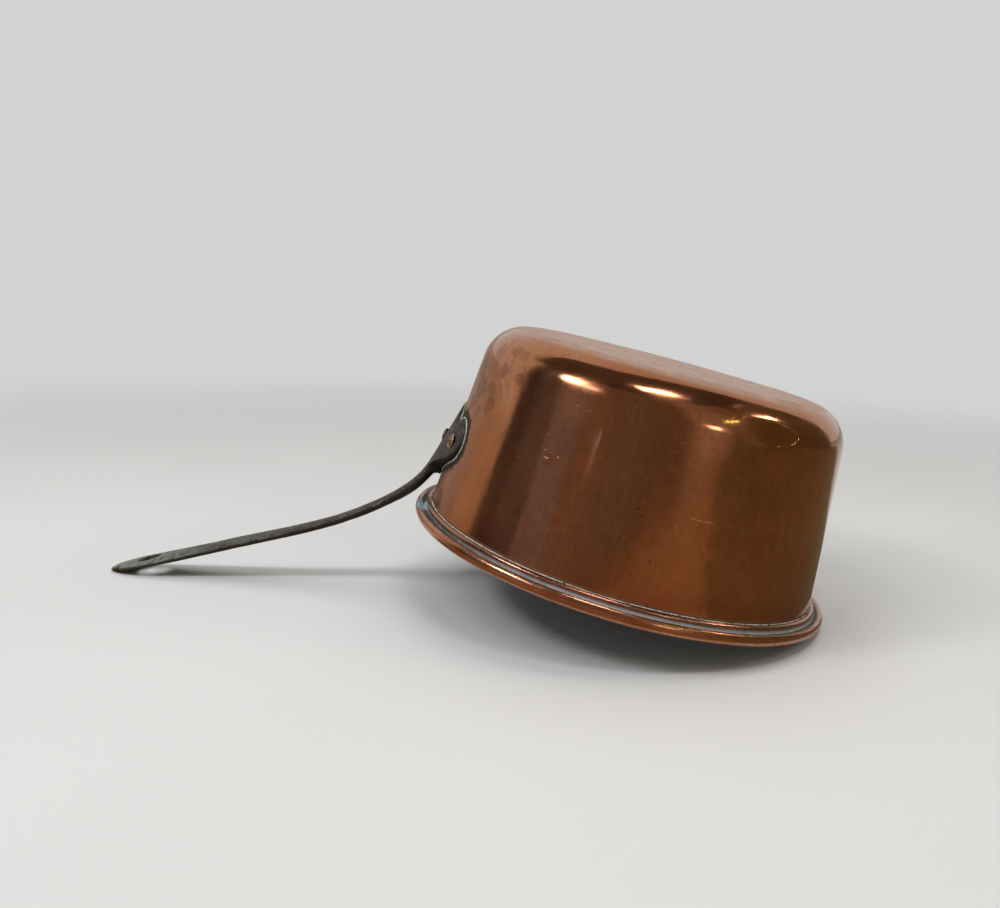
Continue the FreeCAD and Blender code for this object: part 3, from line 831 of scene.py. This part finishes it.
def rivet_material(name, deep, bright, ringed):
    n = Nodes(name)
    place = n.place()
    fine = n.noise(place, 600, 4, 0.6)
    crown = n.attribute("crown")
    color = n.blend(n.ramp(fine, 0.35, 0.65), deep, bright)
    ring = n.times(n.ramp(crown, 0.55, 0.35), n.ramp(crown, 0.02, 0.10),
                   n.ramp(fine, 0.26, 0.48, 0.3, 1.0), ringed)
    color = n.blend(n.times(ring, 0.9), color, (0.34, 0.34, 0.26))
    foot = n.ramp(crown, 0.10, 0.0)
    color = n.blend(n.times(foot, 0.9), color, (0.03, 0.022, 0.016))
    # the inner head was wiped with tin along with the lining
    tin = n.blend(n.ramp(fine, 0.35, 0.65), (0.32, 0.28, 0.24), (0.47, 0.45, 0.42))
    color = n.blend(n.attribute("tinned"), color, tin)
    roughness = n.mix(n.math("MAXIMUM", ring, foot), n.ramp(fine, 0.3, 0.7, 0.22, 0.36), 0.7)
    metallic = n.math("SUBTRACT", 1.0, n.times(ring, 0.8))
    return n.finish(color, roughness, metallic, n.bump(fine, 0.12 * MM, 0.5))


def tin_material():
    n = Nodes("tin")
    place = n.place()
    cloud = n.noise(place, 30, 5, 0.6, 0.8)
    wiped = n.noise(n.stretch(place, (1, 1, 7)), 70, 4, 0.6, 0.5)
    color = n.blend(n.ramp(cloud, 0.36, 0.66), (0.34, 0.33, 0.31), (0.52, 0.51, 0.48))
    worn = n.times(n.ramp(n.noise(place, 55, 4, 0.6, 1.0), 0.62, 0.70), 0.5)
    color = n.blend(worn, color, (0.36, 0.20, 0.13))
    normal = n.bump(wiped, 0.12 * MM, 0.5)
    return n.finish(color, n.ramp(wiped, 0.3, 0.7, 0.34, 0.52), 0.9, normal)


def wire_material():
    n = Nodes("wire_iron")
    coords = n.tree.nodes.new("ShaderNodeTexCoord").outputs["Object"]
    fine = n.noise(coords, 300, 4, 0.6)
    color = n.blend(n.ramp(fine, 0.35, 0.65), (0.05, 0.045, 0.04), (0.11, 0.10, 0.09))
    return n.finish(color, 0.6, 0.6, n.bump(fine, 0.1 * MM, 0.5))


def dress(piece, material):
    piece.data.materials.clear()
    piece.data.materials.append(material)


dress(pan, copper_material())
dress(lining, tin_material())
dress(rim, rim_material())
dress(solder, crust_material("rim_crust", (0.60, 0.57, 0.44), (0.24, 0.22, 0.15), 0.57))
dress(plate_crust, crust_material("plate_crust", (0.40, 0.44, 0.35), (0.16, 0.17, 0.11), 0.66))
dress(handle, iron_material())
side_rivet = rivet_material("rivet_side", (0.20, 0.095, 0.035), (0.42, 0.225, 0.085), 1.0)
middle_rivet = rivet_material("rivet_middle", (0.075, 0.034, 0.026), (0.15, 0.070, 0.052), 0.25)
for piece in rivet_pieces:
    dress(piece, middle_rivet if piece.name.startswith("rivet_middle") else side_rivet)
wire = frame["nodes"]["rim_wire"]
wire_iron = wire_material()
for holder in wire.material_slots:
    holder.material = wire_iron


# ---- floor, lights and camera --------------------------------------------------------
PALE = (0.64, 0.645, 0.64)
heart = Vector((0.09, 0.0, 0.07))  # the middle of the pan; lamps face it, cards stand round it


def floor_material():
    n = Nodes("floor")
    coords = n.tree.nodes.new("ShaderNodeTexCoord").outputs["Object"]
    grain = n.noise(coords, 3, 2, 0.5)
    color = n.blend(n.ramp(grain, 0.3, 0.7), (0.555, 0.552, 0.54), (0.575, 0.572, 0.56))
    surface = n.finish(color, 0.9, 0.0, n.bump(n.noise(coords, 300, 2), 0.05 * MM, 0.1))
    # far off, what the camera sees of the floor fades into the backdrop
    glow = n.tree.nodes.new("ShaderNodeEmission")
    glow.inputs["Color"].default_value = (*PALE, 1.0)
    seen = n.tree.nodes.new("ShaderNodeLightPath").outputs["Is Camera Ray"]
    far = n.ramp(n.distance(coords, tuple(heart)), 0.45, 1.5)
    both = n.tree.nodes.new("ShaderNodeMixShader")
    n.link(n.times(far, seen), both.inputs[0])
    n.link(n.shader.outputs[0], both.inputs[1])
    n.link(glow.outputs[0], both.inputs[2])
    n.link(both.outputs[0], n.tree.nodes["Material Output"].inputs["Surface"])
    return surface


def stage_mesh(name, points, faces, material):
    mesh = bpy.data.meshes.new(name)
    mesh.from_pydata(points, [], faces)
    piece = bpy.data.objects.new(name, mesh)
    bpy.context.scene.collection.objects.link(piece)
    dress(piece, material)
    return piece


ring = [(6 * math.cos(a), 6 * math.sin(a), 0.0) for a in np.linspace(0, 2 * math.pi, 97)[:-1]]
stage_mesh("floor", ring, [list(range(len(ring)))], floor_material())


def card_material(name, color):
    n = Nodes(name)
    coords = n.tree.nodes.new("ShaderNodeTexCoord").outputs["Object"]
    shade = n.noise(coords, 2.5, 2, 0.5)
    mixed = n.blend(n.ramp(shade, 0.3, 0.7), color, tuple(c * 0.85 for c in color))
    return n.finish(mixed, 0.9, 0.0, n.bump(shade, MM, 0.1))


def card(name, points, color):
    """Flat studio card that only reflections see."""
    piece = stage_mesh(name, points, [list(range(len(points)))], card_material(name, color))
    piece.visible_camera = False
    piece.visible_diffuse = False
    piece.visible_shadow = False


def spot(azimuth, distance, height):
    """Place round the pan; azimuth 0 is toward the camera, 90 to its right."""
    turn = math.radians(azimuth)
    return (heart.x + distance * math.sin(turn), -distance * math.cos(turn), height)


# Cards stand round the camera's side, so that the copper mirrors a dark room there and
# a pale wall behind. Each screen runs from its azimuth to the next one's.
REACH = 1.25
LOW, TALL = 0.35, 1.5
screens = [(-178, LOW, (0.53, 0.46, 0.39)), (-115, LOW, (0.66, 0.55, 0.44)),
           (-92, TALL, (0.095, 0.090, 0.090)), (-78, TALL, (0.145, 0.145, 0.165)),
           (-62, TALL, (0.28, 0.29, 0.37)), (-44, TALL, (0.27, 0.225, 0.20)),
           (-24, TALL, (0.23, 0.21, 0.18)), (-2, TALL, (0.20, 0.165, 0.125)),
           (18, TALL, (0.36, 0.32, 0.27)), (40, TALL, (0.25, 0.21, 0.16)),
           (62, TALL, (0.150, 0.125, 0.060)), (84, TALL, (0.140, 0.125, 0.075))]
ends = [start for start, _, _ in screens[1:]] + [119]
for number, ((start, height, tone), end) in enumerate(zip(screens, ends)):
    card(f"screen_{number}", [spot(start, REACH, 0.0), spot(end, REACH, 0.0),
                              spot(end, REACH, height), spot(start, REACH, height)], tone)
# The ceiling ends in this line; past it the copper mirrors the pale world.
back = [(1.25, 0.62), (1.1, 0.60), (0.6, 0.36), (0.25, 0.17), (0.08, 0.13), (-0.1, 0.20),
        (-0.4, 0.36), (-1.05, 0.37), (-1.3, 0.45)]
card("ceiling", [(x, y, TALL) for x, y in [(-1.3, -1.3), (1.25, -1.3)] + back],
     (0.20, 0.18, 0.16))
# and a tabletop round the pan, just over the floor
for side, start, end, tone in (("left", -92, 35, (0.24, 0.165, 0.095)),
                               ("right", 35, 128, (0.13, 0.105, 0.052))):
    sweep = np.linspace(start, end, 16)
    card("table_" + side, [spot(a, 0.130, 0.0006) for a in sweep]
         + [spot(a, 1.24, 0.0006) for a in sweep[::-1]], tone)
# and a thin bright slit before the screens
card("slit_one", [spot(-32.4, 1.2, 0.25), spot(-31.6, 1.2, 0.25), spot(-31.6, 1.2, 0.335),
                  spot(-32.4, 1.2, 0.335)], (0.9, 0.88, 0.85))


def area_lamp(name, place, size, power, color=(1.0, 1.0, 1.0), mirrored=True):
    """Lamp that faces the pan; a mirrored one shows in the copper."""
    light = bpy.data.lights.new(name, "AREA")
    light.shape = "RECTANGLE"
    light.size, light.size_y = size
    light.energy = power
    light.color = color
    lamp = bpy.data.objects.new(name, light)
    lamp.location = place
    lamp.rotation_euler = (heart - Vector(place)).to_track_quat("-Z", "Y").to_euler()
    lamp.visible_glossy = mirrored
    bpy.context.scene.collection.objects.link(lamp)


def toward(azimuth, elevation, distance):
    """Place in a direction from the pan, both in degrees."""
    rise = math.radians(elevation)
    return spot(azimuth, distance * math.cos(rise), heart.z + distance * math.sin(rise))


area_lamp("window_left", toward(-57.5, 40, 1.2), (0.24, 0.17), 3.1, (0.97, 0.95, 1.0))
area_lamp("window_beside", toward(-42, 35, 1.2), (0.14, 0.05), 0.35, (0.97, 0.95, 1.0))
area_lamp("window_above", toward(15, 63, 1.2), (0.36, 0.13), 3.0, (0.97, 0.95, 1.0))
area_lamp("lamp_low", toward(30, 9, 1.1), (0.11, 0.075), 0.28, (0.98, 0.92, 0.96))
area_lamp("lamp_right", toward(46.5, 24.5, 1.1), (0.23, 0.010), 0.22, (0.76, 1.0, 0.34))
area_lamp("window_right", toward(82, 34, 1.15), (0.24, 0.11), 1.3, (1.0, 0.95, 0.84))
area_lamp("soft_left", (-1.1, -0.9, 1.9), (1.4, 1.2), 20.0, (1.0, 0.99, 0.97), False)
area_lamp("soft_above", (0.3, 0.6, 2.2), (2.0, 1.6), 22.0, (1.0, 1.0, 1.0), False)

# The world is bright where it is seen or mirrored, and dimmer as a light.
world = bpy.data.worlds.new("world")
bpy.context.scene.world = world
world.use_nodes = True
sky = world.node_tree
dim = sky.nodes["Background"]
dim.inputs["Color"].default_value = (*PALE, 1.0)
dim.inputs["Strength"].default_value = 0.5
full = sky.nodes.new("ShaderNodeBackground")
full.inputs["Color"].default_value = (*PALE, 1.0)
full.inputs["Strength"].default_value = 1.0
path = sky.nodes.new("ShaderNodeLightPath")
direct = sky.nodes.new("ShaderNodeMath")
direct.operation = "MAXIMUM"
sky.links.new(path.outputs["Is Camera Ray"], direct.inputs[0])
sky.links.new(path.outputs["Is Glossy Ray"], direct.inputs[1])
choice = sky.nodes.new("ShaderNodeMixShader")
sky.links.new(direct.outputs[0], choice.inputs[0])
sky.links.new(dim.outputs[0], choice.inputs[1])
sky.links.new(full.outputs[0], choice.inputs[2])
sky.links.new(choice.outputs[0], sky.nodes["World Output"].inputs["Surface"])

# The camera: sideways from the centre of the pan's mouth, up from the floor, turns in radians.
camera_data = bpy.data.cameras.new("camera")
camera_data.sensor_width = 36.0
camera_data.lens = 32.97
camera = bpy.data.objects.new("camera", camera_data)
bpy.context.scene.collection.objects.link(camera)
yaw, pitch, roll = -0.07067, -0.17181, 0.03324
ahead = Vector((math.sin(yaw) * math.cos(pitch), math.cos(yaw) * math.cos(pitch), math.sin(pitch)))
level = Vector((math.cos(yaw), -math.sin(yaw), 0.0))
above = level.cross(ahead)
right = level * math.cos(roll) + above * math.sin(roll)
up = above * math.cos(roll) - level * math.sin(roll)
turn = Matrix((right, up, -ahead)).transposed()
lens_at = Vector((MOUTH.x - 0.0317, -0.5246, 0.1743))
camera.matrix_world = Matrix.Translation(lens_at) @ turn.to_4x4()
bpy.context.scene.camera = camera
bpy.context.scene.view_settings.view_transform = "Standard"
